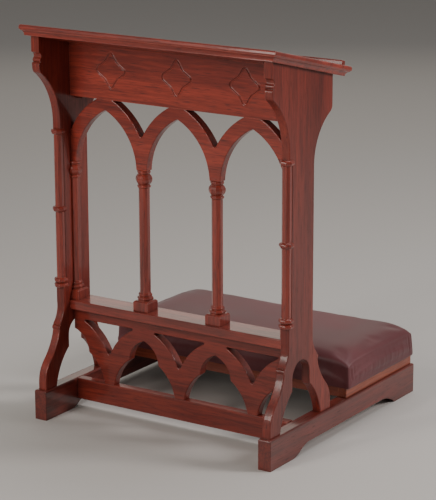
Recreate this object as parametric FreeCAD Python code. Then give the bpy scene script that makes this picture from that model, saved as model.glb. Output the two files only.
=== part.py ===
"""A prie-dieu: a prayer kneeler with a sloping book desk, a gothic arcade front and a padded kneeler.

X runs across the piece, +Y from the arcade side towards the person who kneels, and +Z is up.
The origin is on the floor under the middle of the whole piece. All lengths are millimetres.
Inside this file y is counted from the front ends of the runners; write() moves every piece into place.
"""
import FreeCAD, Part
import math
import os

# ---------------------------------------------------------------- driving dimensions
# Runners: the two floor beams that carry everything.
RUNNER_SPAN = 610.0          # over the outer faces of both runners
RUNNER_LENGTH = 616.0
RUNNER_T = 31.0
RUNNER_H = 67.0
RUNNER_ARCH = 21.0           # daylight under the middle of a runner
FRONT_PAD = 84.0             # length of the front foot pad
REAR_PAD = 88.0              # length of the rear foot pad
FRONT_RISE = 74.0            # run of the long curve behind the front pad
REAR_RISE = 56.0             # run of the cove before the rear pad
RUNNER_ROUND = 4.0

# Side panels: upright boards with splayed legs.
PANEL_OUTER = 299.0          # x of the outer face
PANEL_T = 20.0
PANEL_MID = 129.5            # y of the centre line between the legs
UPRIGHT_FRONT = 79.0         # y of the upright's front edge
UPRIGHT_REAR = 176.0         # y of the upright's rear edge
LEG_HALF = 121.5             # half spread of the legs at the floor beam
HEAD_FRONT = 12.0            # y of the head's front edge
HEAD_REAR = 247.5            # y of the head's rear edge
BOARD_ROUND = 2.0            # softened edges of the boards

# Book desk: a board that slopes down towards the kneeling person.
DESK_WIDTH = 633.5
DESK_LENGTH = 309.0          # along the slope
DESK_T = 21.5
DESK_NOSE = 4.7              # overhang of the high edge in front of the runners
DESK_HIGH = 873.8            # height of the high edge's top
DESK_SLOPE = 14.13           # degrees
LIP_LEAN = 1.87              # how far the tilted lip stands in front of the high edge's top line
LEDGE_LENGTH = 616.0
LEDGE_T = 12.0
LEDGE_H = 10.0
LEDGE_SETBACK = 17.0         # from the desk's low edge

# Arcade wall between the panels.
WALL_FRONT = 116.5           # y of the front face of frieze, arcades and base rail
WALL_T = 20.0
PITCH = 186.5                # from arch to arch
FRIEZE_BOTTOM = 706.2
SHELF_FRONT = 99.7
SHELF_DEPTH = 60.0
SHELF_TOP = 251.3
SHELF_T = 21.0
CAPITAL_TOP = 562.5          # where the upper arcade's legs stand
RAIL_BOTTOM = 19.0
MOTIF_SPACING = 168.5
MOTIF_Z = 770.5
GROOVE_D = 5.0               # width of the engraved line

# Arches, each a pair of arcs: half span at the springing, radius, height of the springing.
UPPER_IN = (80.0, 140.8, 556.0)
UPPER_OUT = (110.2, 171.0, 556.0)
LOWER_OUT = (100.2, 128.5, 87.7)
LOWER_FOIL = (82.2, 101.8, 49.4)
LOWER_HEAD = (38.6, 56.0, 129.0)
LEG_FOIL = (83.6, 133.9, 41.6)
LOWER_CHORD = 206.0          # underside of the lower arcade's top chord
ROUTER_R = 4.0               # router radius in the corners of the openings
ARCADE_ROUND = 2.0           # softened front edges of the arcades

# Columns and colonnettes: octagonal, given by their half width across flats.
SHAFT_HALF = 11.2
PLINTH_HALF = 19.0
COLONNETTE_HALF = 9.5
COLONNETTE_Y = 85.0          # y of the colonnettes' axes
COLONNETTE_SEAT = 90.0       # y of the flat that is cut for them in the panels' front edges
COLONNETTE_BOTTOM = 283.0
COLONNETTE_TOP = 638.0

# Kneeler.
KNEELER_FRONT = 319.0
KNEELER_REAR = 613.0
KNEELER_RAIL_H = 23.0
KNEELER_RAIL_T = 20.0
CUSHION_HALF = 310.0
CUSHION_FRONT = 313.0
CUSHION_REAR = 610.0
CUSHION_EDGE = 138.0         # height where the cushion's sides start to round over
CUSHION_SHOULDER = 22.0      # radius of that rounding
CUSHION_CROWN = 165.0        # height of the crown
CUSHION_CORNER = 10.0
COVER_T = 1.5
PLY_T = 12.0

# Inside the book compartment, behind the frieze.
BOOK_SHELF_TOP = 730.0
BOOK_SHELF_T = 18.0
BOOK_SHELF_REAR = 232.0
CLEAT_T = 15.0
DESK_CLEAT = 20.0

# Small parts.
DOWEL_D = 8.0
DOWEL_DEEP = 12.0
PIN_D = 5.0
SCREW_D = 4.5
SCREW_HEAD_D = 9.0

# ---------------------------------------------------------------- derived dimensions
PANEL_INNER = PANEL_OUTER - PANEL_T
PANEL_CENTRE_X = PANEL_OUTER - PANEL_T / 2
RUNNER_OUTER = RUNNER_SPAN / 2
RUNNER_INNER = RUNNER_OUTER - RUNNER_T
WALL_REAR = WALL_FRONT + WALL_T
WALL_MID = WALL_FRONT + WALL_T / 2
SHELF_BOTTOM = SHELF_TOP - SHELF_T
SLOPE = math.radians(DESK_SLOPE)
KNEELER_TOP = RUNNER_H + KNEELER_RAIL_H
PLY_TOP = KNEELER_TOP + PLY_T
MIDDLE_Y = (RUNNER_LENGTH - DESK_NOSE - LIP_LEAN) / 2
COLUMN_X = [-1.5 * PITCH, -0.5 * PITCH, 0.5 * PITCH, 1.5 * PITCH]
Z_AXIS = FreeCAD.Vector(0, 0, 1)
FAR = 1000.0                 # longer than the whole piece, for cutting tools


# ---------------------------------------------------------------- helpers
def vec(x, y, z):
    return FreeCAD.Vector(x, y, z)


def box(x0, x1, y0, y1, z0, z1):
    return Part.makeBox(x1 - x0, y1 - y0, z1 - z0, vec(x0, y0, z0))


def in_xy(a, b):
    return vec(a, b, 0)


def in_yz(a, b):
    return vec(0, a, b)


def in_xz(a, b):
    return vec(a, 0, b)


def outline(start, steps, plane):
    """Closed flat face. A step is (a, b) for a line, or (a, b, bow) for an arc that bulges bow to the left."""
    edges = []
    here = start
    for step in steps + [start]:
        there = step[:2]
        if math.dist(here, there) < 1e-6:
            continue
        if len(step) == 3:
            length = math.dist(here, there)
            left = (-(there[1] - here[1]) / length, (there[0] - here[0]) / length)
            middle = [(a + b) / 2 + step[2] * across for a, b, across in zip(here, there, left)]
            edges.append(Part.Arc(plane(*here), plane(*middle), plane(*there)).toShape())
        else:
            edges.append(Part.makeLine(plane(*here), plane(*there)))
        here = there
    return Part.Face(Part.Wire(edges))


def board_x(face, x0, x1):
    """A board cut to a face in the YZ plane, from x0 to x1."""
    solid = face.extrude(vec(x1 - x0, 0, 0))
    solid.translate(vec(x0, 0, 0))
    return solid


def board_y(face, y0, y1):
    """A board cut to a face in the XZ plane, from y0 to y1."""
    solid = face.extrude(vec(0, y1 - y0, 0))
    solid.translate(vec(0, y0, 0))
    return solid


def mirrored(shape):
    return shape.mirror(vec(0, 0, 0), vec(1, 0, 0))


def turned(shape, degrees, centre):
    copy = shape.copy()
    copy.rotate(centre, Z_AXIS, degrees)
    return copy


def rounded(shape, radius, wanted):
    """Round the edges for which wanted(edge) is true."""
    return shape.makeFillet(radius, [edge for edge in shape.Edges if wanted(edge)])


def lies_at(edge, **where):
    """True where the edge's box lies wholly at the given x, y or z."""
    limits = edge.BoundBox
    spans = {"x": (limits.XMin, limits.XMax), "y": (limits.YMin, limits.YMax), "z": (limits.ZMin, limits.ZMax)}
    return all(abs(side - place) < 0.01 for axis, place in where.items() for side in spans[axis])


def lens(centre, half, radius, springing, plane):
    """Flat pointed shape between two arcs whose centres stand at the springing height."""
    offset = radius - half
    tip = math.sqrt(radius ** 2 - offset ** 2)
    bow = radius - math.sqrt(radius ** 2 - (half ** 2 + tip ** 2) / 4)
    left = (centre - half, springing)
    return outline(left, [(centre + half, springing), (centre, springing + tip, -bow),
                          (centre - half, springing, -bow)], plane)


def cylinder(diameter, start, direction, length):
    return Part.makeCylinder(diameter / 2, length, start, direction)


def desk_top_z(y):
    """Height of the desk's upper face at a given y."""
    return DESK_HIGH - (y + DESK_NOSE) * math.tan(SLOPE)


def desk_under_z(y):
    """Height of the desk's lower face at a given y."""
    return desk_top_z(y) - DESK_T / math.cos(SLOPE)


def on_desk(shape):
    """Tilt a shape drawn with the desk's high top edge along the X axis, and set it in place."""
    shape = shape.copy()
    shape.rotate(vec(0, 0, 0), vec(1, 0, 0), -DESK_SLOPE)
    shape.translate(vec(0, -DESK_NOSE, DESK_HIGH))
    return shape


def group(solids):
    return Part.makeCompound(solids)


def write(name, shape):
    """Write one piece, moved so that the origin is under the middle of the whole."""
    placed = shape.copy()
    placed.translate(vec(0, -MIDDLE_Y, 0))
    placed.exportStep("parts/" + name + ".step")


# ---------------------------------------------------------------- runners
def runner():
    """Right-hand floor beam: two foot pads, a curved underside and rounded top edges."""
    rise = RUNNER_ARCH / 2
    bow = 3.0
    cove = 4.5
    rear_pad = RUNNER_LENGTH - REAR_PAD
    middle = FRONT_PAD + FRONT_RISE / 2
    side = outline((0, 0), [
        (FRONT_PAD, 0),
        (middle, rise, -bow),
        (FRONT_PAD + FRONT_RISE, RUNNER_ARCH, bow),
        (rear_pad - REAR_RISE, RUNNER_ARCH),
        (rear_pad, 0, cove),
        (RUNNER_LENGTH, 0),
        (RUNNER_LENGTH, RUNNER_H),
        (0, RUNNER_H),
    ], in_yz)
    beam = board_x(side, RUNNER_INNER, RUNNER_OUTER)
    beam = rounded(beam, RUNNER_ROUND, lambda e: lies_at(e, z=RUNNER_H))
    return rounded(beam, BOARD_ROUND, lambda e: lies_at(e, y=0) and e.BoundBox.ZLength > RUNNER_H / 2)


# ---------------------------------------------------------------- side panels
def leg_edge(side):
    """Steps down one leg from the upright to the floor beam; side is -1 at the front and 1 at the rear."""
    marks = [
        (66.0, 204.0, 5.9),      # flare out of the upright
        (63.5, 201.5),           # quirk above the bead
        (67.0, 191.5, -3.4),     # bead
        (99.0, 133.0, 4.6),      # hollow of the calf
        (LEG_HALF, 85.0, -5.3),  # swell of the foot
        (LEG_HALF, RUNNER_H),
    ]
    return [(PANEL_MID + side * out, z) + tuple(-side * b for b in bow) for out, z, *bow in marks]


def upward(start, steps):
    """The same steps walked backwards: returns a new start and the steps that lead back to the old one."""
    points = [start] + steps
    back = []
    for before, after in zip(points[-2::-1], points[:0:-1]):
        back.append(before[:2] + tuple(-bow for bow in after[2:]))
    return points[-1][:2], back


def panel_outline():
    """Head, upright and legs of a side panel, walked down the front edge and up the rear one."""
    flare_top = 250.0
    sweep_end = 652.0            # where the front sweep becomes the upright
    rear_sweep_top = 727.0
    rear_sweep_end = 606.0
    quirk = HEAD_FRONT + 7.0
    down = [
        (HEAD_FRONT, 814.5),
        (HEAD_FRONT + 8.5, 803.5, 2.4),            # cove under the head's flat
        (quirk, 801.5),
        (quirk, 792.0, -3.2),                      # bead
        (HEAD_FRONT, 787.0, -1.8),                 # rounded shoulder
        (HEAD_FRONT + 0.5, 782.0),
        (HEAD_FRONT + 5.0, 770.0, -1.2),
        (UPRIGHT_FRONT, sweep_end, 16.4),          # sweep into the upright
        (UPRIGHT_FRONT, flare_top),
    ]
    start = (HEAD_FRONT, desk_under_z(HEAD_FRONT))
    rear_start, rear_leg = upward((UPRIGHT_REAR, flare_top), leg_edge(1))
    up = [
        (UPRIGHT_REAR, rear_sweep_end),
        (239.5, 711.5, 18.0),                      # sweep out to the head
        (HEAD_REAR, rear_sweep_top, -2.5),
        (HEAD_REAR, desk_under_z(HEAD_REAR)),
    ]
    return outline(start, down + leg_edge(-1) + [rear_start] + rear_leg + up, in_yz)


def leg_opening():
    """Cusped arch between the legs: a wide foil below and a round head above."""
    head_half = 34.0
    head_z = 171.0
    cusp_z = 144.0
    foil = lens(PANEL_MID, *LEG_FOIL, in_yz)
    below = board_x(foil, 0, PANEL_T).common(box(0, PANEL_T, 0, FAR, 0, cusp_z))
    neck = box(0, PANEL_T, PANEL_MID - head_half, PANEL_MID + head_half, cusp_z - 10, head_z)
    head = Part.makeCylinder(head_half, PANEL_T, vec(0, PANEL_MID, head_z), vec(1, 0, 0))
    return below.fuse([neck, head]).removeSplitter()


def side_panel():
    """Right-hand panel, with the seat for the colonnette cut in its front edge."""
    panel = board_x(panel_outline(), PANEL_INNER, PANEL_OUTER)
    opening = leg_opening()
    opening.translate(vec(PANEL_INNER, 0, 0))
    panel = panel.cut(opening)
    seat = box(PANEL_INNER, PANEL_OUTER, 0, COLONNETTE_SEAT, COLONNETTE_BOTTOM, COLONNETTE_TOP)
    panel = panel.cut(seat)

    def softened(edge):
        on_face = lies_at(edge, x=PANEL_OUTER) or lies_at(edge, x=PANEL_INNER)
        limits = edge.BoundBox
        at_desk = limits.ZMax > desk_under_z(HEAD_FRONT) - 1 or (limits.YLength > 200)
        at_floor = limits.ZLength < 0.01 and limits.ZMax < RUNNER_H + 1
        at_seat = limits.YMax < COLONNETTE_SEAT + 1 and limits.ZMin > COLONNETTE_BOTTOM - 1 \
            and limits.ZMax < COLONNETTE_TOP + 1
        at_groove = limits.YMax < HEAD_FRONT + 9 and limits.ZMin > 786 and limits.ZMax < 815
        at_bead = limits.ZMin > 191 and limits.ZMax < 204.1 and limits.ZLength < 12
        return on_face and not (at_desk or at_floor or at_seat or at_groove or at_bead)

    return rounded(panel, BOARD_ROUND, softened)


# ---------------------------------------------------------------- octagonal turnings
def symmetric(profile, plane):
    """Flat face, the same on both sides of its centre line; profile holds (half width, height) steps upwards."""
    bottom = profile[0][1]
    right = profile + [(0, profile[-1][1])]
    _, back = upward((0, bottom), right)
    left = [(-step[0], step[1]) + tuple(-bow for bow in step[2:]) for step in back]
    return outline((0, bottom), right + left, plane)


def octagonal(profile, y):
    """Solid of octagonal section with mitred mouldings, standing at the given y."""
    slab = board_y(symmetric(profile, in_xz), -FAR / 2, FAR / 2)
    solid = slab
    for degrees in (45, 90, 135):
        solid = solid.common(turned(slab, degrees, vec(0, 0, 0)))
    solid.translate(vec(0, y, 0))
    return solid


def low_bow(depth):
    """Bow of a moulding that bulges to the right while the profile climbs."""
    return -depth


def colonnette():
    """Octagonal shaft let into the right panel's front edge, ringed at its head, middle and foot."""
    flat = COLONNETTE_HALF
    fillet = flat + 1.0          # half width of the small step at each ring's edges
    bulge = 4.5
    foot = COLONNETTE_BOTTOM + 0.5
    rings = [(foot, 11.0), (foot + 11.5, 11.0), (454.5, 12.0), (626.0, 12.0)]
    profile = [(flat, COLONNETTE_BOTTOM)]
    for low, height in rings:
        high = low + height
        profile += [(flat, low), (fillet, low), (fillet, high, low_bow(bulge)), (flat, high)]
    profile.append((flat, COLONNETTE_TOP))
    shaft = octagonal(profile, COLONNETTE_Y)
    shaft.translate(vec(PANEL_CENTRE_X, 0, 0))
    behind = box(0, 2 * PANEL_OUTER, COLONNETTE_SEAT, COLONNETTE_SEAT + 4 * flat, 0, FAR)
    return shaft.cut(behind)


def arcade_column():
    """Middle column on the x = 0 line: square plinth, octagonal shaft, bulb capital."""
    shaft = SHAFT_HALF
    plinth_top = SHELF_TOP + 23.0
    shoulder = 3.0
    base = 15.0                  # half widths of the mouldings
    neck = 12.6
    ring = 12.0
    profile = [
        (base, plinth_top),
        (base, plinth_top + 1.5),
        (base, plinth_top + 8.5, low_bow(1.8)),    # lower bead of the base
        (neck, plinth_top + 9.5),
        (neck, plinth_top + 16.0, low_bow(1.6)),   # upper bead of the base
        (shaft, plinth_top + 18.0),
        (shaft, 523.5),
        (ring, 524.0),
        (ring, 530.5, low_bow(1.8)),               # ring under the bulb
        (shaft, 531.5),
        (shaft, 554.5, low_bow(5.8)),              # bulb
        (ring, 555.0),
        (ring, CAPITAL_TOP, low_bow(1.8)),         # ring over the bulb
    ]
    turned_part = octagonal(profile, WALL_MID)
    half = PLINTH_HALF
    plinth = box(-half, half, WALL_MID - half, WALL_MID + half, SHELF_TOP, plinth_top)
    top_edges = [edge for edge in plinth.Edges if lies_at(edge, z=plinth_top)]
    plinth = plinth.makeChamfer(shoulder, top_edges)
    return turned_part.fuse(plinth).removeSplitter()


# ---------------------------------------------------------------- arcade wall
def in_wall(face):
    return board_y(face, WALL_FRONT, WALL_REAR)


def wall_block(x0, x1, z0, z1):
    return box(x0, x1, WALL_FRONT, WALL_REAR, z0, z1)


def corners(board, centres, low, high):
    """Edges that run through the wall's thickness at any of the centres, between two heights."""
    def wanted(edge):
        limits = edge.BoundBox
        through = limits.YLength > WALL_T - 0.1 and limits.XLength < 0.1 and limits.ZLength < 0.1
        near = any(abs(limits.XMin - x) < 0.5 for x in centres)
        return through and near and low < limits.ZMin < high
    return [edge for edge in board.Edges if wanted(edge)]


def soften_front(board):
    """Round the curved and sloping edges of the front face."""
    def wanted(edge):
        limits = edge.BoundBox
        return lies_at(edge, y=WALL_FRONT) and limits.ZLength > 0.05 and limits.XLength > 0.05
    return rounded(board, ARCADE_ROUND, wanted)


def reach(height, half, radius, springing):
    """Distance from an arch's centre line to its curve at a given height."""
    return math.sqrt(radius ** 2 - (height - springing) ** 2) - (radius - half)


def upper_arcade():
    """Three pointed arches on two middle legs and two half legs, open between their shoulders."""
    centres = [-PITCH, 0, PITCH]
    solid = wall_block(-PANEL_INNER, PANEL_INNER, CAPITAL_TOP, UPPER_OUT[2] + 40)
    for x in centres:
        solid = solid.fuse(in_wall(lens(x, *UPPER_OUT, in_xz)))
    for x in centres:
        solid = solid.cut(in_wall(lens(x, *UPPER_IN, in_xz)))
    keep = wall_block(-PANEL_INNER, PANEL_INNER, CAPITAL_TOP, FRIEZE_BOTTOM)
    solid = solid.common(keep).removeSplitter()
    solid = solid.makeFillet(ROUTER_R, corners(solid, COLUMN_X + centres, 600, FRIEZE_BOTTOM - 1))
    return soften_front(solid)


def lower_arcade():
    """Two cusped arches and two half arches under a top chord, open between their shoulders."""
    valley_x = [-PITCH, 0, PITCH]
    solid = wall_block(-PANEL_INNER, PANEL_INNER, RUNNER_H, SHELF_BOTTOM)
    valleys = wall_block(-PANEL_INNER, PANEL_INNER, 120.0, LOWER_CHORD)
    for x in COLUMN_X:
        valleys = valleys.cut(in_wall(lens(x, *LOWER_OUT, in_xz)))
        solid = solid.cut(in_wall(lens(x, *LOWER_FOIL, in_xz)))
        solid = solid.cut(in_wall(lens(x, *LOWER_HEAD, in_xz)))
    solid = solid.cut(valleys).removeSplitter()
    shoulders = []
    for x in valley_x:
        half = PITCH / 2 - reach(LOWER_CHORD, *LOWER_OUT)
        shoulders += [x - half, x + half]
    solid = solid.makeFillet(ROUTER_R, corners(solid, valley_x + COLUMN_X, 110, 185))
    solid = solid.makeFillet(ROUTER_R / 2, corners(solid, shoulders, LOWER_CHORD - 1, LOWER_CHORD + 1))
    cusp_half = 38.4             # from an arch's centre line to the points between foil and head
    cusps = [x + side * cusp_half for x in COLUMN_X for side in (-1, 1)]
    solid = solid.makeFillet(1.0, corners(solid, cusps, 125, 140))
    return soften_front(solid)


def in_panel_bay(x0, x1, z0, z1):
    """Block as deep as the shelf."""
    return box(x0, x1, SHELF_FRONT, SHELF_FRONT + SHELF_DEPTH, z0, z1)


def column_shelf():
    shelf = in_panel_bay(-PANEL_INNER, PANEL_INNER, SHELF_BOTTOM, SHELF_TOP)
    return rounded(shelf, BOARD_ROUND, lambda e: e.BoundBox.XLength > PANEL_INNER)


def base_rail():
    rail = wall_block(-RUNNER_INNER, RUNNER_INNER, RAIL_BOTTOM, RUNNER_H)
    return rounded(rail, BOARD_ROUND, lambda e: lies_at(e, y=WALL_FRONT) and e.BoundBox.XLength > RUNNER_INNER)


# ---------------------------------------------------------------- frieze
def smooth_loop(points):
    """Closed wire through straight runs and tangent arcs; a point is (x, z, radius of its corner)."""
    marks = []
    for before, here, after in zip(points[-1:] + points[:-1], points, points[1:] + points[:1]):
        corner = in_xz(*here[:2])
        inward = (in_xz(*before[:2]) - corner).normalize()
        onward = (in_xz(*after[:2]) - corner).normalize()
        half_angle = inward.getAngle(onward) / 2
        run = here[2] / math.tan(half_angle)
        bisector = (inward + onward).normalize()
        nearest = here[2] / math.sin(half_angle) - here[2]
        marks.append((corner + inward * run, corner + bisector * nearest, corner + onward * run))
    edges = []
    for mark, following in zip(marks, marks[1:] + marks[:1]):
        edges.append(Part.Arc(*mark).toShape())
        edges.append(Part.makeLine(mark[2], following[0]))
    return Part.Wire(edges)


def motif_groove(x):
    """Round-bottomed groove that draws a four-pointed figure on the frieze's face."""
    side_tip = (42.0, 0.0, 8.0)
    waist = (15.0, 19.0, 12.0)
    top_tip = (0.0, 43.0, 6.0)
    quarter = [side_tip, waist, top_tip]
    points = []
    for step in range(4):
        across = 1 if step in (0, 3) else -1
        upwards = 1 if step in (0, 1) else -1
        corners_here = [(across * a, upwards * b, r) for a, b, r in quarter]
        if across * upwards < 0:
            corners_here.reverse()
        points += [corner for corner in corners_here if corner not in points]
    path = smooth_loop(points)
    straight = path.Edges[1]
    heading = straight.tangentAt(straight.FirstParameter)
    ring = Part.Wire(Part.makeCircle(GROOVE_D / 2, straight.Vertexes[0].Point, heading))
    track = Part.Wire(path.Edges[1:] + path.Edges[:1])
    groove = track.makePipeShell([ring], True, True)
    groove.translate(vec(x, WALL_FRONT, MOTIF_Z))
    return groove


def frieze_board():
    """Board behind the desk's high end, with three engraved figures."""
    side = outline((WALL_FRONT, FRIEZE_BOTTOM), [
        (WALL_REAR, FRIEZE_BOTTOM),
        (WALL_REAR, desk_under_z(WALL_REAR)),
        (WALL_FRONT, desk_under_z(WALL_FRONT)),
    ], in_yz)
    board = board_x(side, -PANEL_INNER, PANEL_INNER)
    for i in (-1, 0, 1):
        board = board.cut(motif_groove(i * MOTIF_SPACING))
    return board


# ---------------------------------------------------------------- desk
def moulded(half, plane):
    """Section of the desk board: a rounded lip above, a step, then a hollow that draws in underneath."""
    return symmetric([
        (half - 9.5, -DESK_T),
        (half - 2.5, -11.5, 2.2),
        (half - 2.5, -10.5),
        (half, -7.5, low_bow(0.6)),
        (half, -4.0),
        (half - 4.0, 0, low_bow(1.2)),
    ], plane)


def desk_top():
    """The sloping board, with the same moulding cut round its four edges."""
    along = board_y(moulded(DESK_WIDTH / 2, in_xz), 0, DESK_LENGTH)
    across = board_x(moulded(DESK_LENGTH / 2, in_yz), -DESK_WIDTH / 2, DESK_WIDTH / 2)
    across.translate(vec(0, DESK_LENGTH / 2, 0))
    return on_desk(along.common(across))


def book_ledge():
    """Strip near the desk's low edge that stops a book from sliding off."""
    rear = DESK_LENGTH - LEDGE_SETBACK
    strip = box(-LEDGE_LENGTH / 2, LEDGE_LENGTH / 2, rear - LEDGE_T, rear, 0, LEDGE_H)
    strip = rounded(strip, 3.0, lambda e: lies_at(e, z=LEDGE_H))
    return on_desk(strip)


def ledge_pins():
    middle = DESK_LENGTH - LEDGE_SETBACK - LEDGE_T / 2
    return [on_desk(cylinder(PIN_D, vec(x, middle, -DOWEL_DEEP), Z_AXIS, DOWEL_DEEP + LEDGE_H / 2))
            for x in (-270, -90, 90, 270)]


def desk_cleat():
    """Right-hand bearer that ties the panel's inner face to the desk's underside."""
    bearer = box(PANEL_INNER - DESK_CLEAT, PANEL_INNER, 160, 245, -DESK_T - DESK_CLEAT, -DESK_T)
    return on_desk(bearer)


def book_shelf():
    bottom = BOOK_SHELF_TOP - BOOK_SHELF_T
    return box(-PANEL_INNER, PANEL_INNER, WALL_REAR, BOOK_SHELF_REAR, bottom, BOOK_SHELF_TOP)


def book_shelf_cleat():
    under = BOOK_SHELF_TOP - BOOK_SHELF_T
    return box(PANEL_INNER - CLEAT_T, PANEL_INNER, WALL_REAR + 4, BOOK_SHELF_REAR - 8, under - CLEAT_T, under)


# ---------------------------------------------------------------- kneeler
def kneeler_side_rail():
    rail = box(PANEL_INNER, PANEL_OUTER, KNEELER_FRONT, KNEELER_REAR, RUNNER_H, KNEELER_TOP)
    return rounded(rail, BOARD_ROUND, lambda e: lies_at(e, x=PANEL_OUTER) and e.BoundBox.YLength < 1)


def kneeler_cross_rail(y):
    return box(-PANEL_INNER, PANEL_INNER, y, y + KNEELER_RAIL_T, RUNNER_H, KNEELER_TOP)


def kneeler_corner_block():
    """Triangular block in the front right corner of the kneeler's frame."""
    leg = 35.0
    y = KNEELER_FRONT + KNEELER_RAIL_T
    face = outline((PANEL_INNER, y), [(PANEL_INNER, y + leg), (PANEL_INNER - leg, y)], in_xy)
    block = face.extrude(vec(0, 0, KNEELER_RAIL_H))
    block.translate(vec(0, 0, RUNNER_H))
    return block


def cushion_form(inset):
    """Crowned upholstered block, drawn in on every side but its bottom by the given inset."""
    half = CUSHION_HALF - inset
    depth_half = (CUSHION_REAR - CUSHION_FRONT) / 2 - inset
    shoulder = CUSHION_SHOULDER - inset
    shoulder_top = CUSHION_EDGE + shoulder
    shoulder_bow = low_bow(shoulder * (1 - math.cos(math.pi / 4)))
    crown_bow = low_bow(CUSHION_CROWN - CUSHION_EDGE - CUSHION_SHOULDER)
    bulge = 3.0

    def domed(half_width, plane):
        side = half_width - bulge
        top = side - shoulder
        return outline((-side, KNEELER_TOP), [
            (side, KNEELER_TOP),
            (side, CUSHION_EDGE, low_bow(bulge)),
            (top, shoulder_top, shoulder_bow),
            (-top, shoulder_top, crown_bow),
            (-side, CUSHION_EDGE, shoulder_bow),
            (-side, KNEELER_TOP, low_bow(bulge)),
        ], plane)

    across = board_y(domed(half, in_xz), -depth_half, depth_half)
    along = board_x(domed(depth_half, in_yz), -half, half)
    column = box(-half, half, -depth_half, depth_half, KNEELER_TOP, CUSHION_CROWN)
    column = rounded(column, CUSHION_CORNER, lambda e: lies_at(e, x=e.Vertexes[0].X, y=e.Vertexes[0].Y))
    form = across.common(along).common(column)
    form.translate(vec(0, (CUSHION_FRONT + CUSHION_REAR) / 2, 0))
    return form


# ---------------------------------------------------------------- dowels and screws
def both_sides(solids):
    return solids + [mirrored(solid) for solid in solids]


def upright_dowel(x, y, z):
    """Dowel with its middle at the given joint height."""
    return cylinder(DOWEL_D, vec(x, y, z - DOWEL_DEEP), Z_AXIS, 2 * DOWEL_DEEP)


def level_dowel(x, y, z):
    return cylinder(DOWEL_D, vec(x - DOWEL_DEEP, y, z), vec(1, 0, 0), 2 * DOWEL_DEEP)


def wood_screw(x, y, z, length):
    """Screw driven upwards, its flat head flush with the given height."""
    sink = 3.0
    head = Part.makeCone(SCREW_HEAD_D / 2, SCREW_D / 2, sink, vec(x, y, z), Z_AXIS)
    return head.fuse(cylinder(SCREW_D, vec(x, y, z + sink), Z_AXIS, length - sink))


def column_dowels():
    dowels = [upright_dowel(PITCH / 2, WALL_MID, z) for z in (SHELF_TOP, CAPITAL_TOP)]
    return both_sides(dowels)


def wall_dowels():
    """Dowels that hold the frieze, both arcades, the shelf and the base rail at their ends and to each other."""
    chord_mid = (LOWER_CHORD + SHELF_BOTTOM) / 2
    ends = [level_dowel(PANEL_INNER, WALL_MID, z) for z in (735, 800, 600, chord_mid - 10)]
    ends += [level_dowel(PANEL_INNER, y, SHELF_BOTTOM + SHELF_T / 2) for y in (112, 148)]
    ends += [level_dowel(RUNNER_INNER, WALL_MID, z) for z in (33, 53)]
    middles = [upright_dowel(x, WALL_MID, z) for x in (-PITCH, 0, PITCH)
               for z in (RUNNER_H, SHELF_BOTTOM - 1, FRIEZE_BOTTOM)]
    return both_sides(ends) + middles


def panel_foot_dowels():
    front = PANEL_MID - LEG_HALF + 12
    places = [front, front + 17, 2 * PANEL_MID - front - 17, 2 * PANEL_MID - front]
    return both_sides([upright_dowel(PANEL_CENTRE_X, y, RUNNER_H + 3) for y in places])


def kneeler_dowels():
    middle_z = RUNNER_H + KNEELER_RAIL_H / 2
    ends = [level_dowel(PANEL_INNER, y, middle_z) for y in
            (KNEELER_FRONT + KNEELER_RAIL_T / 2, KNEELER_REAR - KNEELER_RAIL_T / 2)]
    feet = [upright_dowel(PANEL_CENTRE_X, y, RUNNER_H) for y in (360, 466, 572)]
    return both_sides(ends + feet)


def board_screws():
    inset = 9.0
    near = KNEELER_FRONT + KNEELER_RAIL_T + inset
    far = KNEELER_REAR - KNEELER_RAIL_T - inset
    return both_sides([wood_screw(PANEL_INNER - inset, y, RUNNER_H, 32) for y in (near, far)])


def desk_screws():
    top = -DESK_T - DESK_CLEAT
    return both_sides([on_desk(wood_screw(PANEL_INNER - DESK_CLEAT / 2, y, top, 34)) for y in (178, 227)])


def bored(piece, tools):
    """Cut the holes for every dowel or screw that enters the piece."""
    reaching = [tool for tool in tools if piece.BoundBox.intersect(tool.BoundBox)]
    return piece.cut(reaching) if reaching else piece


# ---------------------------------------------------------------- the whole piece
def wooden_pieces():
    right_panel = side_panel()
    right_colonnette = colonnette()
    right_runner = runner()
    right_rail = kneeler_side_rail()
    column = arcade_column()
    pieces = {
        "desk_top": desk_top(),
        "book_ledge": book_ledge(),
        "frieze_board": frieze_board(),
        "upper_arcade": upper_arcade(),
        "column_shelf": column_shelf(),
        "lower_arcade": lower_arcade(),
        "front_base_rail": base_rail(),
        "book_shelf": book_shelf(),
        "right_side_panel": right_panel,
        "left_side_panel": mirrored(right_panel),
        "right_front_colonnette": right_colonnette,
        "left_front_colonnette": mirrored(right_colonnette),
        "right_runner": right_runner,
        "left_runner": mirrored(right_runner),
        "kneeler_right_rail": right_rail,
        "kneeler_left_rail": mirrored(right_rail),
        "kneeler_front_rail": kneeler_cross_rail(KNEELER_FRONT),
        "kneeler_rear_rail": kneeler_cross_rail(KNEELER_REAR - KNEELER_RAIL_T),
    }
    names = ["arcade_column_left_end", "arcade_column_left", "arcade_column_right", "arcade_column_right_end"]
    bay = box(-PANEL_INNER, PANEL_INNER, 0, FAR, 0, FAR)
    for name, x in zip(names, COLUMN_X):
        standing = column.copy()
        standing.translate(vec(x, 0, 0))
        pieces[name] = standing.common(bay) if abs(x) > PITCH else standing
    return pieces


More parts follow.
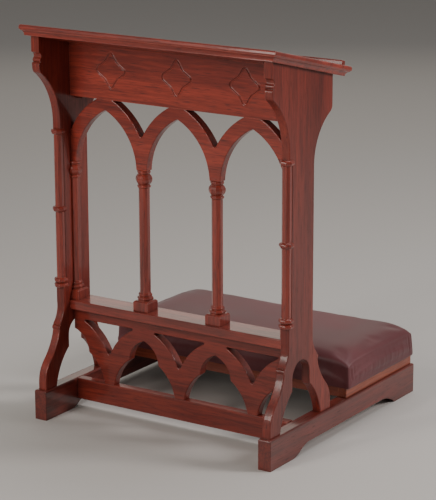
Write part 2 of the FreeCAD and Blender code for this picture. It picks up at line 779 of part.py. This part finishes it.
def main():
    os.makedirs("parts", exist_ok=True)
    corner = kneeler_corner_block()
    rear_corner = corner.mirror(vec(0, (KNEELER_FRONT + KNEELER_REAR) / 2, 0), vec(0, 1, 0))
    fasteners = {
        "ledge_pins": ledge_pins(),
        "desk_screws": desk_screws(),
        "column_dowels": column_dowels(),
        "wall_dowels": wall_dowels(),
        "panel_foot_dowels": panel_foot_dowels(),
        "kneeler_dowels": kneeler_dowels(),
        "kneeler_board_screws": board_screws(),
    }
    tools = [solid for solids in fasteners.values() for solid in solids]
    filling = cushion_form(COVER_T)
    pieces = wooden_pieces()
    pieces["kneeler_board"] = filling.common(box(-FAR, FAR, 0, FAR, 0, PLY_TOP))
    for name, piece in pieces.items():
        write(name, bored(piece, tools))
    sets = {
        "desk_cleats": both_sides([desk_cleat()]),
        "book_shelf_cleats": both_sides([book_shelf_cleat()]),
        "kneeler_corner_blocks": both_sides([corner, rear_corner]),
    }
    for name, solids in sets.items():
        write(name, group([bored(solid, tools) for solid in solids]))
    for name, solids in fasteners.items():
        write(name, group(solids))
    write("cushion_foam", filling.common(box(-FAR, FAR, 0, FAR, PLY_TOP, FAR)))
    write("cushion_cover", cushion_form(0).cut(filling))


main()
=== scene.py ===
"""Looks of a prie-dieu: red mahogany under satin lacquer, and a burgundy vinyl kneeling cushion."""
import math

import bmesh
import bpy
import numpy as np
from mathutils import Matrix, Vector


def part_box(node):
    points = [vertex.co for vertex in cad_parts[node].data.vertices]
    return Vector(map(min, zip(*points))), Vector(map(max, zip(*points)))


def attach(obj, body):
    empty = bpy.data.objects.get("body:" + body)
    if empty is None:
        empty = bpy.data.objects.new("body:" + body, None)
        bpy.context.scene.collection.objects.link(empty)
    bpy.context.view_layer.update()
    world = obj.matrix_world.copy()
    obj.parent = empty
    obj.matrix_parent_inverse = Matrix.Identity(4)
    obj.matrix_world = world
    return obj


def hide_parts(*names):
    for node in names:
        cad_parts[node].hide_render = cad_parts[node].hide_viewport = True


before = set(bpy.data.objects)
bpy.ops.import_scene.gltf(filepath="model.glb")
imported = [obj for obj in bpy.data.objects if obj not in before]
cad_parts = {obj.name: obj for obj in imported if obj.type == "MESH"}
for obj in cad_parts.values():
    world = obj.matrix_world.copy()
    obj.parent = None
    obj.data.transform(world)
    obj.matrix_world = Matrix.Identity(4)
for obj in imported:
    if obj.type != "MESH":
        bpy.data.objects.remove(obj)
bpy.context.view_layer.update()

# ---------------------------------------------------------------- places, in metres, from the frame
MM = 0.001
cover_low, cover_high = (Vector(corner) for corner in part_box("cushion_cover"))

# ---------------------------------------------------------------- camera and studio
# Bearings are in degrees: azimuth to the right of the front, elevation above the level.
CAMERA_AZIMUTH = 33.33
CAMERA_ELEVATION = 14.97
CAMERA_ROLL = -0.17
CAMERA_DISTANCE = 4.5376
CAMERA_LENS = 152.49
CAMERA_SENSOR = 36.0
CAMERA_AIM = Vector((0.04654, -0.10472, 0.38948))
LIGHT_AIM = Vector((0, 0, 0.45))
FLOOR_SIZE = 30              # metres
FLOOR_COLOUR = (0.50, 0.48, 0.46, 1)
FLOOR_ROUGHNESS = 0.7
SKY_COLOUR = (0.90, 0.87, 0.83, 1)
SKY_STRENGTH = 0.22


def direction(azimuth, elevation):
    """Unit vector from the object towards a place at the given bearing."""
    a = math.radians(azimuth)
    e = math.radians(elevation)
    return Vector((math.sin(a) * math.cos(e), -math.cos(a) * math.cos(e), math.sin(e)))


def place_facing(thing, aim, azimuth, elevation, distance):
    """Stand a camera or a light at a bearing and turn it to its aim."""
    back = direction(azimuth, elevation)
    thing.location = aim + back * distance
    thing.rotation_euler = (-back).to_track_quat("-Z", "Y").to_euler()


def make_camera():
    """A long lens to the right of the front, looking down a little."""
    data = bpy.data.cameras.new("camera")
    data.lens = CAMERA_LENS
    data.sensor_width = CAMERA_SENSOR
    camera = bpy.data.objects.new("camera", data)
    bpy.context.collection.objects.link(camera)
    place_facing(camera, CAMERA_AIM, CAMERA_AZIMUTH, CAMERA_ELEVATION, CAMERA_DISTANCE)
    camera.rotation_euler.rotate_axis("Z", math.radians(CAMERA_ROLL))
    bpy.context.scene.camera = camera


def area_light(name, azimuth, elevation, distance, width, height, watts, colour=(1, 1, 1)):
    """A rectangular soft light that stands at a bearing, its distance and sides in metres."""
    data = bpy.data.lights.new(name, "AREA")
    data.shape = "RECTANGLE"
    data.size = width
    data.size_y = height
    data.energy = watts
    data.color = colour
    light = bpy.data.objects.new(name, data)
    bpy.context.collection.objects.link(light)
    place_facing(light, LIGHT_AIM, azimuth, elevation, distance)


def make_studio():
    """A pale floor, an even sky, and soft lights from the front, the right and behind."""
    world = bpy.data.worlds.new("studio")
    world.use_nodes = True
    background = world.node_tree.nodes["Background"]
    background.inputs["Color"].default_value = SKY_COLOUR
    background.inputs["Strength"].default_value = SKY_STRENGTH
    bpy.context.scene.world = world
    area_light("key", -12, 21, 3.4, 1.7, 1.2, 60, (1.0, 0.95, 0.88))
    area_light("spark", -16, 38, 3.2, 0.22, 0.22, 12, (1.0, 0.96, 0.90))
    area_light("side", 113, 26, 3.4, 0.7, 1.3, 76, (1.0, 0.95, 0.93))
    area_light("above", 150, 70, 3.2, 1.8, 1.8, 40)
    area_light("low_behind", 213, 17, 4.6, 4.0, 1.3, 13, (1.0, 0.92, 0.80))
    bpy.ops.mesh.primitive_plane_add(size=FLOOR_SIZE)
    floor = bpy.context.object
    floor.name = "floor"
    material, _, shader = new_material("studio_floor")
    shader.inputs["Base Color"].default_value = FLOOR_COLOUR
    shader.inputs["Roughness"].default_value = FLOOR_ROUGHNESS
    floor.data.materials.append(material)


# ---------------------------------------------------------------- building nodes
def feed(tree, socket, value):
    """Fill an input with a plain value, or link another node's output to it."""
    if isinstance(value, bpy.types.NodeSocket):
        tree.links.new(value, socket)
    else:
        socket.default_value = value


def feed_by_name(tree, node, inputs):
    """Fill inputs given by keyword, where an underscore stands for a space."""
    for label, value in inputs.items():
        feed(tree, node.inputs[label.replace("_", " ")], value)


def add_node(tree, kind, settings=None, **inputs):
    """A shader node with some of its settings and inputs filled in."""
    node = tree.nodes.new("ShaderNode" + kind)
    for key, value in (settings or {}).items():
        setattr(node, key, value)
    feed_by_name(tree, node, inputs)
    return node


def use_group(tree, group, **inputs):
    """A node group placed in a material with its own values."""
    node = tree.nodes.new("ShaderNodeGroup")
    node.node_tree = group
    feed_by_name(tree, node, inputs)
    return node


def math_node(tree, operation, a, b, clamp=False):
    """The result of one operation on two values or sockets."""
    node = add_node(tree, "Math", {"operation": operation, "use_clamp": clamp})
    feed(tree, node.inputs[0], a)
    feed(tree, node.inputs[1], b)
    return node.outputs[0]


def times(tree, a, b, clamp=False):
    return math_node(tree, "MULTIPLY", a, b, clamp)


def plus(tree, a, b):
    return math_node(tree, "ADD", a, b)


def less(tree, a, b):
    return math_node(tree, "SUBTRACT", a, b)


def mix_colour(tree, factor, a, b, blend="MIX"):
    """Colour a turning into colour b; sockets 0, 6 and 7 are the colour mix's factor, A and B."""
    node = add_node(tree, "Mix", {"data_type": "RGBA", "blend_type": blend})
    feed(tree, node.inputs[0], factor)
    feed(tree, node.inputs[6], a)
    feed(tree, node.inputs[7], b)
    return node.outputs[2]


def ramp(tree, factor, low, high):
    """Value that climbs from 0 to 1 as the factor goes from low to high."""
    node = add_node(tree, "MapRange", {"clamp": True, "interpolation_type": "SMOOTHSTEP"},
                    Value=factor, From_Min=low, From_Max=high)
    return node.outputs["Result"]


def dimmed(colour, share):
    """A colour at a share of its brightness."""
    return tuple(channel * share for channel in colour[:3]) + (1,)


def new_material(name):
    """A material, its node tree and its shader."""
    material = bpy.data.materials.new(name)
    material.use_nodes = True
    tree = material.node_tree
    return material, tree, tree.nodes["Principled BSDF"]


# ---------------------------------------------------------------- shared effects
class Group:
    """A shader node group under construction."""

    def __init__(self, name, inputs, outputs):
        self.tree = bpy.data.node_groups.new(name, "ShaderNodeTree")
        for label, kind, default in inputs:
            socket = self.tree.interface.new_socket(label, in_out="INPUT", socket_type=kind)
            if default is not None:
                socket.default_value = default
        for label, kind in outputs:
            self.tree.interface.new_socket(label, in_out="OUTPUT", socket_type=kind)
        self.given = self.tree.nodes.new("NodeGroupInput").outputs
        self.result = self.tree.nodes.new("NodeGroupOutput").inputs

    def node(self, kind, settings=None, **inputs):
        return add_node(self.tree, kind, settings, **inputs)

    def join(self, source, target):
        self.tree.links.new(source, target)


def make_wood_figure():
    """Slow tone, fibres and pores of mahogany; the grain runs along the vector's X."""
    group = Group("wood_figure", [
        ("Vector", "NodeSocketVector", None),
        ("Fibre Scale", "NodeSocketFloat", 210.0),
        ("Pore Scale", "NodeSocketFloat", 620.0),
    ], [("Tone", "NodeSocketFloat"), ("Figure", "NodeSocketFloat"), ("Pores", "NodeSocketFloat")])
    tree = group.tree
    vector = group.given["Vector"]
    broad = group.node("Mapping", Vector=vector, Scale=(0.5, 2.4, 2.4))
    tone = group.node("TexNoise", Vector=broad.outputs[0], Scale=5.0, Detail=4.0, Roughness=0.55)
    group.join(ramp(tree, tone.outputs["Fac"], 0.31, 0.70), group.result["Tone"])

    # The fibres sway a little from side to side, so no streak runs dead straight.
    slow = group.node("Mapping", Vector=vector, Scale=(1.0, 3.0, 3.0))
    sway = group.node("TexNoise", Vector=slow.outputs[0], Scale=3.0, Detail=2.0)
    stretched = group.node("Mapping", Vector=vector, Scale=(0.035, 1.0, 1.0))
    swayed = group.node("VectorMath", {"operation": "MULTIPLY_ADD"})
    group.join(sway.outputs["Color"], swayed.inputs[0])
    swayed.inputs[1].default_value = (0.0, 0.03, 0.03)
    group.join(stretched.outputs[0], swayed.inputs[2])
    fibres = group.node("TexNoise", Vector=swayed.outputs[0], Scale=group.given["Fibre Scale"],
                        Detail=4.0, Roughness=0.6)
    bands = group.node("TexNoise", Vector=swayed.outputs[0], Scale=38.0, Detail=3.0, Roughness=0.5)
    blended = plus(tree, times(tree, fibres.outputs["Fac"], 0.55), times(tree, bands.outputs["Fac"], 0.45))
    group.join(ramp(tree, blended, 0.31, 0.70), group.result["Figure"])

    fine = group.node("Mapping", Vector=vector, Scale=(0.06, 1.0, 1.0))
    pores = group.node("TexNoise", Vector=fine.outputs[0], Scale=group.given["Pore Scale"],
                       Detail=1.0, Roughness=0.4)
    group.join(ramp(tree, pores.outputs["Fac"], 0.58, 0.72), group.result["Pores"])
    return tree


def make_worn_and_highlit_edge():
    """Softened normal of a lacquered edge, and a mask that is 1 along the edges, whose lighter colour is
    partly rubbed wear and partly painted highlight.
    """
    group = Group("worn_and_highlit_edge", [
        ("Radius", "NodeSocketFloat", 0.0018),
        ("Vector", "NodeSocketVector", None),
    ], [("Edge", "NodeSocketFloat"), ("Normal", "NodeSocketVector")])
    tree = group.tree
    soft = group.node("Bevel", {"samples": 4}, Radius=group.given["Radius"])
    plain = group.node("NewGeometry")
    along = group.node("VectorMath", {"operation": "DOT_PRODUCT"})
    group.join(soft.outputs[0], along.inputs[0])
    group.join(plain.outputs["Normal"], along.inputs[1])
    turned = less(tree, 1.0, along.outputs["Value"])
    patches = group.node("TexNoise", Vector=group.given["Vector"], Scale=35.0, Detail=3.0)
    amount = times(tree, ramp(tree, turned, 0.01, 0.14), ramp(tree, patches.outputs["Fac"], 0.2, 0.55))
    group.join(amount, group.result["Edge"])
    group.join(soft.outputs[0], group.result["Normal"])
    return tree


def make_settled_glaze():
    """Mask of painted shade that darkens corners, quirks and grooves, where nearby surfaces shut a point
    in.
    """
    group = Group("settled_glaze", [
        ("Reach", "NodeSocketFloat", 0.02),
        ("Depth", "NodeSocketFloat", 0.6),
        ("Vector", "NodeSocketVector", None),
    ], [("Crevice Shade", "NodeSocketFloat")])
    tree = group.tree
    open_sky = group.node("AmbientOcclusion", {"samples": 6}, Distance=group.given["Reach"])
    closed = less(tree, 1.0, open_sky.outputs["AO"])
    # Noise makes the painted shade uneven.
    shade_noise = group.node("TexNoise", Vector=group.given["Vector"], Scale=22.0, Detail=3.0)
    shade_strength = plus(tree, times(tree, shade_noise.outputs["Fac"], 0.5), 0.75)
    spread = times(tree, ramp(tree, closed, 0.22, 0.85), shade_strength)
    group.join(times(tree, spread, group.given["Depth"], clamp=True), group.result["Crevice Shade"])
    return tree


def make_vinyl_grain():
    """Pebbled leathercloth: height of the grain, and a slow change of tone."""
    group = Group("vinyl_grain", [
        ("Vector", "NodeSocketVector", None),
        ("Pebble Scale", "NodeSocketFloat", 900.0),
    ], [("Height", "NodeSocketFloat"), ("Tone", "NodeSocketFloat")])
    tree = group.tree
    vector = group.given["Vector"]
    pebbles = group.node("TexVoronoi", {"feature": "SMOOTH_F1"}, Vector=vector,
                         Scale=group.given["Pebble Scale"])
    creases = group.node("TexNoise", Vector=vector, Scale=260.0, Detail=4.0)
    height = plus(tree, times(tree, pebbles.outputs["Distance"], -0.7),
                  times(tree, creases.outputs["Fac"], 0.5))
    group.join(height, group.result["Height"])
    tone = group.node("TexNoise", Vector=vector, Scale=6.0, Detail=4.0)
    group.join(ramp(tree, tone.outputs["Fac"], 0.3, 0.7), group.result["Tone"])
    return tree


WOOD_FIGURE = make_wood_figure()
WORN_AND_HIGHLIT_EDGE = make_worn_and_highlit_edge()
CREVICE_SHADE = make_settled_glaze()
VINYL_GRAIN = make_vinyl_grain()

# ---------------------------------------------------------------- finishes
GRAIN_TURN = {"X": (0, 0, 0), "Y": (0, 0, math.radians(-90)), "Z": (0, math.radians(90), 0)}
SLOW_DARK = (0.84, 0.80, 0.84, 1)      # what the slow tone multiplies the wood's colour by
SLOW_LIGHT = (1.12, 1.12, 1.08, 1)
PORE_SHOW = 0.62             # how strongly the pores are coloured
EDGE_SHOW = 0.6              # how strongly the edges are lightened, as rubbed wear and as painted highlight


def wood(name, grain, dark, light, pore=None, offset=(0, 0, 0), roughness=0.38, coat=0.5, edge=None,
         glaze=0.6):
    """Stained and lacquered wood whose grain runs along X, Y or Z."""
    material, tree, shader = new_material(name)
    pore = pore or dark
    place = add_node(tree, "TexCoord").outputs["Object"]
    laid = add_node(tree, "Mapping", {"vector_type": "POINT"}, Vector=place, Location=offset,
                    Rotation=GRAIN_TURN[grain])
    figure = use_group(tree, WOOD_FIGURE, Vector=laid.outputs[0]).outputs
    lit_worn_edge = use_group(tree, WORN_AND_HIGHLIT_EDGE, Vector=place).outputs
    crevice_shading = use_group(tree, CREVICE_SHADE, Vector=place, Depth=glaze).outputs

    tint = mix_colour(tree, figure["Figure"], dark, light)
    slow = mix_colour(tree, figure["Tone"], SLOW_DARK, SLOW_LIGHT)
    shade = mix_colour(tree, 1.0, tint, slow, "MULTIPLY")
    pored = mix_colour(tree, times(tree, figure["Pores"], PORE_SHOW), shade, pore)
    # Painted shade: the colour darkens towards half the pore colour where the surface is shut in.
    glazed = mix_colour(tree, crevice_shading["Crevice Shade"], pored, dimmed(pore, 0.5))
    # Lighter edges: partly rubbed wear, partly painted highlight along the rounded edges.
    edge_lit_and_worn = mix_colour(tree, times(tree, lit_worn_edge["Edge"], EDGE_SHOW), glazed, edge or light)
    feed(tree, shader.inputs["Base Color"], edge_lit_and_worn)

    drier = plus(tree, times(tree, figure["Tone"], 0.05), roughness)
    feed(tree, shader.inputs["Roughness"], plus(tree, times(tree, figure["Pores"], 0.16), drier))
    bump = add_node(tree, "Bump", Strength=0.10, Distance=0.0003, Normal=lit_worn_edge["Normal"],
                    Height=less(tree, figure["Figure"], figure["Pores"]))
    feed(tree, shader.inputs["Normal"], bump.outputs[0])
    feed(tree, shader.inputs["Coat Normal"], lit_worn_edge["Normal"])
    shader.inputs["Specular IOR Level"].default_value = 0.35
    shader.inputs["Coat Weight"].default_value = coat
    shader.inputs["Coat Roughness"].default_value = 0.09
    return material


def vinyl():
    """Burgundy upholstery vinyl with a fine pebble and a dull gloss."""
    material, tree, shader = new_material("burgundy_vinyl")
    place = add_node(tree, "TexCoord").outputs["Object"]
    grain = use_group(tree, VINYL_GRAIN, Vector=place).outputs
    colour = mix_colour(tree, grain["Tone"], (0.082, 0.0150, 0.019, 1), (0.120, 0.024, 0.029, 1))
    feed(tree, shader.inputs["Base Color"], colour)
    feed(tree, shader.inputs["Roughness"], plus(tree, times(tree, grain["Tone"], 0.08), 0.42))
    bump = add_node(tree, "Bump", Strength=0.25, Distance=0.0003, Height=grain["Height"])
    feed(tree, shader.inputs["Normal"], bump.outputs[0])
    shader.inputs["Sheen Weight"].default_value = 0.12
    shader.inputs["Sheen Roughness"].default_value = 0.4
    return material


def plain_metal(name, colour):
    """Bright metal with a fine scratchy brushing."""
    material, tree, shader = new_material(name)
    place = add_node(tree, "TexCoord").outputs["Object"]
    brushed = add_node(tree, "TexNoise", Vector=place, Scale=900.0, Detail=2.0).outputs["Fac"]
    feed(tree, shader.inputs["Base Color"], mix_colour(tree, brushed, dimmed(colour, 0.8), colour))
    feed(tree, shader.inputs["Roughness"], plus(tree, times(tree, brushed, 0.2), 0.25))
    shader.inputs["Metallic"].default_value = 1.0
    return material


def foam():
    """Open-celled upholstery foam."""
    material, tree, shader = new_material("upholstery_foam")
    place = add_node(tree, "TexCoord").outputs["Object"]
    cells = add_node(tree, "TexVoronoi", Vector=place, Scale=700.0).outputs["Distance"]
    colour = mix_colour(tree, cells, (0.55, 0.5, 0.32, 1), (0.78, 0.72, 0.52, 1))
    feed(tree, shader.inputs["Base Color"], colour)
    bump = add_node(tree, "Bump", Strength=0.4, Distance=0.0005, Height=cells)
    feed(tree, shader.inputs["Normal"], bump.outputs[0])
    shader.inputs["Roughness"].default_value = 0.95
    return material


# ---------------------------------------------------------------- kneeling cushion
STAPLED = 13 * MM            # height of the cover that is held flat against its board
SLACK = 1.0 * MM             # how much smaller the pad is before it is filled
TOP_SLACK = 1.5 * MM
FACE = 5 * MM                # size of the block's even faces
END_SHOULDER = 75 * MM       # run of the rounding along the two ends
FRONT_SHOULDER = 80 * MM     # run of the rounding along the front
REAR_SHOULDER = 32 * MM      # run of the rounding along the rear
SEAM_CORNER = 49 * MM        # height of the cover at its corners
SEAM_RISE = 11 * MM          # how far the end panels' seams arch up between the corners
CROWN = 3 * MM               # how far the top swells from its edges to its middle
CORNER_ROUND = 1 * MM
TINY = 1e-9                  # keeps a division away from zero
FILL_STEPS = 20
FILL_MOST = 3 * MM           # the furthest that filling may move a point
RELAXING = 9                 # passes of smoothing after the fill

LOWEST_BAND = 10 * MM        # band at the foot that is stretched down to meet the board again
FOOT_RISE = 3 * MM           # how far filling and smoothing draw the foot up
WELT = (0.15, 0.20)          # place and width of the welt, from facing up (-1) to facing the end (1)
GROOVE = (0.62, 0.14)        # the same for the stitched groove beside it
GROOVE_DEPTH = 0.8           # millimetres
WELT_INSET = 30 * MM         # how far in from the ends the welt may reach
WELT_FADE = 10 * MM
WELT_FOOT = 12 * MM          # height over which the welt grows from nothing
PLEATS = ((14 * MM, 1.6), (25 * MM, 0.8))     # distance from the corner, and depth in millimetres
PLEAT_WIDTH = 2.6 * MM
PLEAT_FOLD = 6 * MM          # the swell beside a pleat lies this far from it
PLEAT_FOLD_WIDTH = 4 * MM
PLEAT_TOP = 54 * MM          # height at which the pleats run out
PLEAT_FADE = 16 * MM
PLEAT_FOOT = 8 * MM          # height over which they grow from the staples
PLEAT_SWELL = 0.6            # share of the pleat's depth that the swell stands out
WAVE_DEPTH = 0.35            # millimetres
WAVES = ((190, 1.1, 1.0), (331, 2.0, 0.7), (547, 0.4, 0.4))     # per metre, start and share
WAVE_TOP = 60 * MM
WAVE_FADE = 50 * MM
FLAT_FOOT = 4 * MM           # below this the cover lies flat on its board
FOOT_FADE = 16 * MM


def keep_modifiers(piece):
    """Turn a piece and its modifiers into a plain mesh."""
    graph = bpy.context.evaluated_depsgraph_get()
    solved = piece.evaluated_get(graph)
    mesh = bpy.data.meshes.new_from_object(solved, preserve_all_data_layers=True, depsgraph=graph)
    piece.modifiers.clear()
    piece.data = mesh


def read_vectors(mesh, what):
    """Rows of three numbers, one for each vertex."""
    flat = np.empty(len(mesh.vertices) * 3)
    mesh.vertices.foreach_get(what, flat)
    return flat.reshape(-1, 3)


def points(mesh):
    """The vertices' places."""
    return read_vectors(mesh, "co")


def set_points(mesh, places):
    """Move the vertices to new places."""
    mesh.vertices.foreach_set("co", places.ravel())
    mesh.update()


def block_mesh(name, low, high):
    """Closed block of even faces."""
    mesh = bpy.data.meshes.new(name)
    block = bmesh.new()
    bmesh.ops.create_cube(block, size=1)
    size = high - low
    for vert in block.verts:
        vert.co = vert.co * size + (low + high) / 2
    block.to_mesh(mesh)
    block.free()
    piece = bpy.data.objects.new(name, mesh)
    bpy.context.collection.objects.link(piece)
    remesh = piece.modifiers.new("even_faces", "REMESH")
    remesh.mode = "VOXEL"
    remesh.voxel_size = FACE
    keep_modifiers(piece)
    return piece


def rise(value, start, run):
    """Climbs evenly from 0 to 1 over a run that begins at start."""
    return np.clip((value - start) / run, 0, 1)


def bell(value, middle, width):
    """1 at the middle, falling smoothly to 0 on both sides."""
    return np.exp(-((value - middle) / width) ** 2)


def quarter_round(run, width):
    """Climbs from 0 at the edge to 1 at the shoulder's full width, like a quarter of an ellipse."""
    return np.sqrt(1 - (1 - rise(run, 0, width)) ** 2)


def shape_pad(places, low, high):
    """Round the block's corners and shoulders and crown its top."""
    half = np.array(((high - low) / 2)[:2])
    middle = np.array(((high + low) / 2)[:2])
    plan = places[:, :2] - middle
    core = np.clip(plan, -(half - CORNER_ROUND), half - CORNER_ROUND)
    out = plan - core
    length = np.maximum(np.linalg.norm(out, axis=1, keepdims=True), TINY)
    longest = np.abs(out).max(axis=1, keepdims=True)
    plan = np.where((out != 0).all(axis=1, keepdims=True), core + out * longest / length, plan)

    run = half - np.abs(plan)
    across, along = np.abs(plan).T / half[:, None]
    seam = SEAM_CORNER + SEAM_RISE * (1 - across ** 6 * along ** 2)
    top = (high.z - low.z) - CROWN + CROWN * (1 - across ** 2) * (1 - along ** 2)
    width = np.where(plan[:, 1] < 0, FRONT_SHOULDER, REAR_SHOULDER)
    shoulder = quarter_round(run[:, 0], END_SHOULDER) * quarter_round(run[:, 1], width)
    height = seam + (top - seam) * shoulder
    share = (places[:, 2] - low.z) / (high.z - low.z)
    return np.column_stack([plan + middle, low.z + share * height])


def fill_pad(piece):
    """Blow the cover out a little against its stapled lower edge, as the foam does."""
    rest = points(piece.data)
    cloth = piece.modifiers.new("fill", "CLOTH")
    cloth.settings.vertex_group_mass = "stapled"
    cloth.settings.quality = 5
    cloth.settings.mass = 0.4
    cloth.settings.tension_stiffness = 22
    cloth.settings.compression_stiffness = 22
    cloth.settings.bending_stiffness = 12
    cloth.settings.use_pressure = True
    cloth.settings.uniform_pressure_force = 4
    cloth.settings.effector_weights.gravity = 0
    cloth.collision_settings.use_collision = False
    for step in range(1, FILL_STEPS + 1):
        bpy.context.scene.frame_set(step)
    keep_modifiers(piece)
    bpy.context.scene.frame_set(1)
    move = points(piece.data) - rest
    far = np.maximum(np.linalg.norm(move, axis=1, keepdims=True), TINY)
    set_points(piece.data, rest + move * np.minimum(1.0, FILL_MOST / far))


def smooth_pad(piece):
    """Relax the filled cover above its staples and divide its faces once."""
    relaxed = piece.modifiers.new("relaxed", "SMOOTH")
    relaxed.factor = 0.5
    relaxed.iterations = RELAXING
    relaxed.vertex_group = "stapled"
    relaxed.invert_vertex_group = True
    smooth = piece.modifiers.new("smooth", "SUBSURF")
    smooth.levels = 1
    keep_modifiers(piece)


def sew_pad(piece, low, high):
    """Seams round the end panels, pleats at the corners, and the vinyl's slight waviness."""
    places = points(piece.data)
    facing = read_vectors(piece.data, "normal")
    height = places[:, 2] - low.z
    stretched = np.clip(height - FOOT_RISE, 0, None) * LOWEST_BAND / (LOWEST_BAND - FOOT_RISE)
    height = np.where(height < LOWEST_BAND, stretched, height)
    places[:, 2] = low.z + height
    middle = np.array((low + high) / 2)
    half = np.array((high - low) / 2)
    x, y = (places - middle)[:, :2].T
    end = np.abs(facing[:, 0])

    # A welt stands on the end panel's rim, and the stitching pulls in a groove beside it.
    # The lift is in millimetres, outwards from the cover.
    rim = end - np.hypot(facing[:, 1], facing[:, 2])
    welt = bell(rim, *WELT) - GROOVE_DEPTH * bell(rim, *GROOVE)
    lift = welt * rise(np.abs(x), half[0] - WELT_INSET, WELT_FADE) * rise(height, 0, WELT_FOOT)

    on_end = rise(end, 0.8, 0.15) * rise(PLEAT_TOP - height, 0, PLEAT_FADE)
    on_end *= rise(height, STAPLED, PLEAT_FOOT)
    for side in (-1, 1):
        for back, deep in PLEATS:
            line = side * (half[1] - back)
            lift -= on_end * deep * bell(y, line, PLEAT_WIDTH)
            lift += on_end * PLEAT_SWELL * deep * bell(y, line - side * PLEAT_FOLD, PLEAT_FOLD_WIDTH)

    upright = np.clip(1 - np.abs(facing[:, 2]) * 1.6, 0, 1)
    around = np.where(end > 0.7, y, x)
    waves = sum(share * np.sin(around * per_metre + start) for per_metre, start, share in WAVES)
    lift += WAVE_DEPTH * waves * upright * rise(WAVE_TOP - height, 0, WAVE_FADE)

    lift *= rise(height, FLAT_FOOT, FOOT_FADE)
    places = places + facing * lift[:, None] * MM
    places[:, 2] = np.maximum(places[:, 2], low.z)
    set_points(piece.data, places)


def kneeling_cushion():
    """Foam pad in burgundy vinyl: a strip over front, top and rear, and two sewn-in end panels."""
    low = cover_low + Vector((SLACK, SLACK, 0))
    high = cover_high - Vector((SLACK, SLACK, TOP_SLACK))
    piece = block_mesh("kneeling_cushion", low, high)
    set_points(piece.data, shape_pad(points(piece.data), low, high))
    stapled = piece.vertex_groups.new(name="stapled")
    foot = np.flatnonzero(points(piece.data)[:, 2] < low.z + STAPLED)
    stapled.add(foot.tolist(), 1.0, "REPLACE")
    fill_pad(piece)
    smooth_pad(piece)
    sew_pad(piece, cover_low, cover_high)
    for face in piece.data.polygons:
        face.use_smooth = True
    piece.data.materials.clear()
    piece.data.materials.append(vinyl())
    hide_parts("cushion_cover", "cushion_foam")
    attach(piece, "root")


# ---------------------------------------------------------------- painting the pieces
DEEP_RED = (0.120, 0.0125, 0.0075, 1)
WARM_RED = (0.300, 0.0370, 0.0205, 1)
EDGE_RED = (0.50, 0.13, 0.085, 1)
PORE_RED = (0.045, 0.006, 0.004, 1)
LIGHT_STAIN = dict(dark=(0.17, 0.030, 0.012, 1), light=(0.34, 0.075, 0.032, 1), edge=(0.5, 0.2, 0.1, 1))
BARE = dict(dark=(0.42, 0.26, 0.13, 1), light=(0.62, 0.45, 0.27, 1), coat=0.0, roughness=0.6, glaze=0.3)
ZINC = (0.7, 0.7, 0.72, 1)


def mahogany(name, grain, offset, shade=1.0, **more):
    """Red-stained mahogany, lighter or darker by the shade: each part's copy is dimmed to the brightness
    the part shows, and on the lower parts this dimming is painted shade.
    """
    dark, light, edge = (dimmed(red, shade) for red in (DEEP_RED, WARM_RED, EDGE_RED))
    return wood(name, grain, dark, light, PORE_RED, offset, edge=edge, **more)


def paint(material, *nodes):
    """Give a material to CAD nodes."""
    for node in nodes:
        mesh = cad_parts[node].data
        mesh.materials.clear()
        mesh.materials.append(material)


def paint_everything():
    """Each board is a piece of its own, so each has its own grain direction and place in the wood."""
    paint(mahogany("mahogany_desk", "X", (0.3, 0.1, 0.2)), "desk_top", "book_ledge")
    paint(mahogany("mahogany_frieze", "X", (0.1, 0.6, 0.4), glaze=0.4), "frieze_board")
    paint(mahogany("mahogany_upper_arcade", "X", (0.7, 0.2, 0.1)), "upper_arcade")
    # The lower arcade, base rail and runners get darker copies of the mahogany: painted shade, for the
    # light that falls off towards the floor.
    paint(mahogany("mahogany_lower_arcade", "X", (1.3, 0.5, 0.6), 0.72), "lower_arcade")
    paint(mahogany("mahogany_shelf", "X", (2.1, 0.8, 0.3), 0.85, coat=0.9), "column_shelf", "book_shelf")
    paint(mahogany("mahogany_base_rail", "X", (2.9, 0.1, 0.8), 0.72), "front_base_rail")
    paint(mahogany("mahogany_right_panel", "Z", (0.4, 0.2, 0.9), 0.76, coat=0.4), "right_side_panel")
    paint(mahogany("mahogany_left_panel", "Z", (1.4, 0.7, 0.1), 0.8, coat=0.4), "left_side_panel")
    paint(mahogany("mahogany_turned", "Z", (2.4, 0.3, 0.5), 0.86, coat=0.8),
          "left_front_colonnette", "right_front_colonnette", "arcade_column_left_end",
          "arcade_column_left", "arcade_column_right", "arcade_column_right_end")
    paint(mahogany("mahogany_runners", "Y", (0.2, 1.1, 0.3), 0.6, coat=0.8), "left_runner", "right_runner")
    paint(mahogany("mahogany_bearers", "Y", (1.9, 0.4, 0.7), 0.6), "desk_cleats", "book_shelf_cleats")
    paint(wood("kneeler_wood_across", "X", offset=(3.1, 0.4, 0.2), **LIGHT_STAIN),
          "kneeler_front_rail", "kneeler_rear_rail")
    paint(wood("kneeler_wood_along", "Y", offset=(0.9, 2.4, 0.7), **LIGHT_STAIN),
          "kneeler_left_rail", "kneeler_right_rail", "kneeler_corner_blocks")
    paint(wood("bare_ply", "X", offset=(2.7, 0.9, 0.7), **BARE), "kneeler_board")
    paint(wood("beech_dowels", "Z", offset=(0.1, 0.4, 1.7), **BARE),
          "ledge_pins", "column_dowels", "wall_dowels", "panel_foot_dowels", "kneeler_dowels")
    paint(plain_metal("zinc_screw", ZINC), "desk_screws", "kneeler_board_screws")
    paint(foam(), "cushion_foam")


make_camera()
make_studio()
paint_everything()
kneeling_cushion()
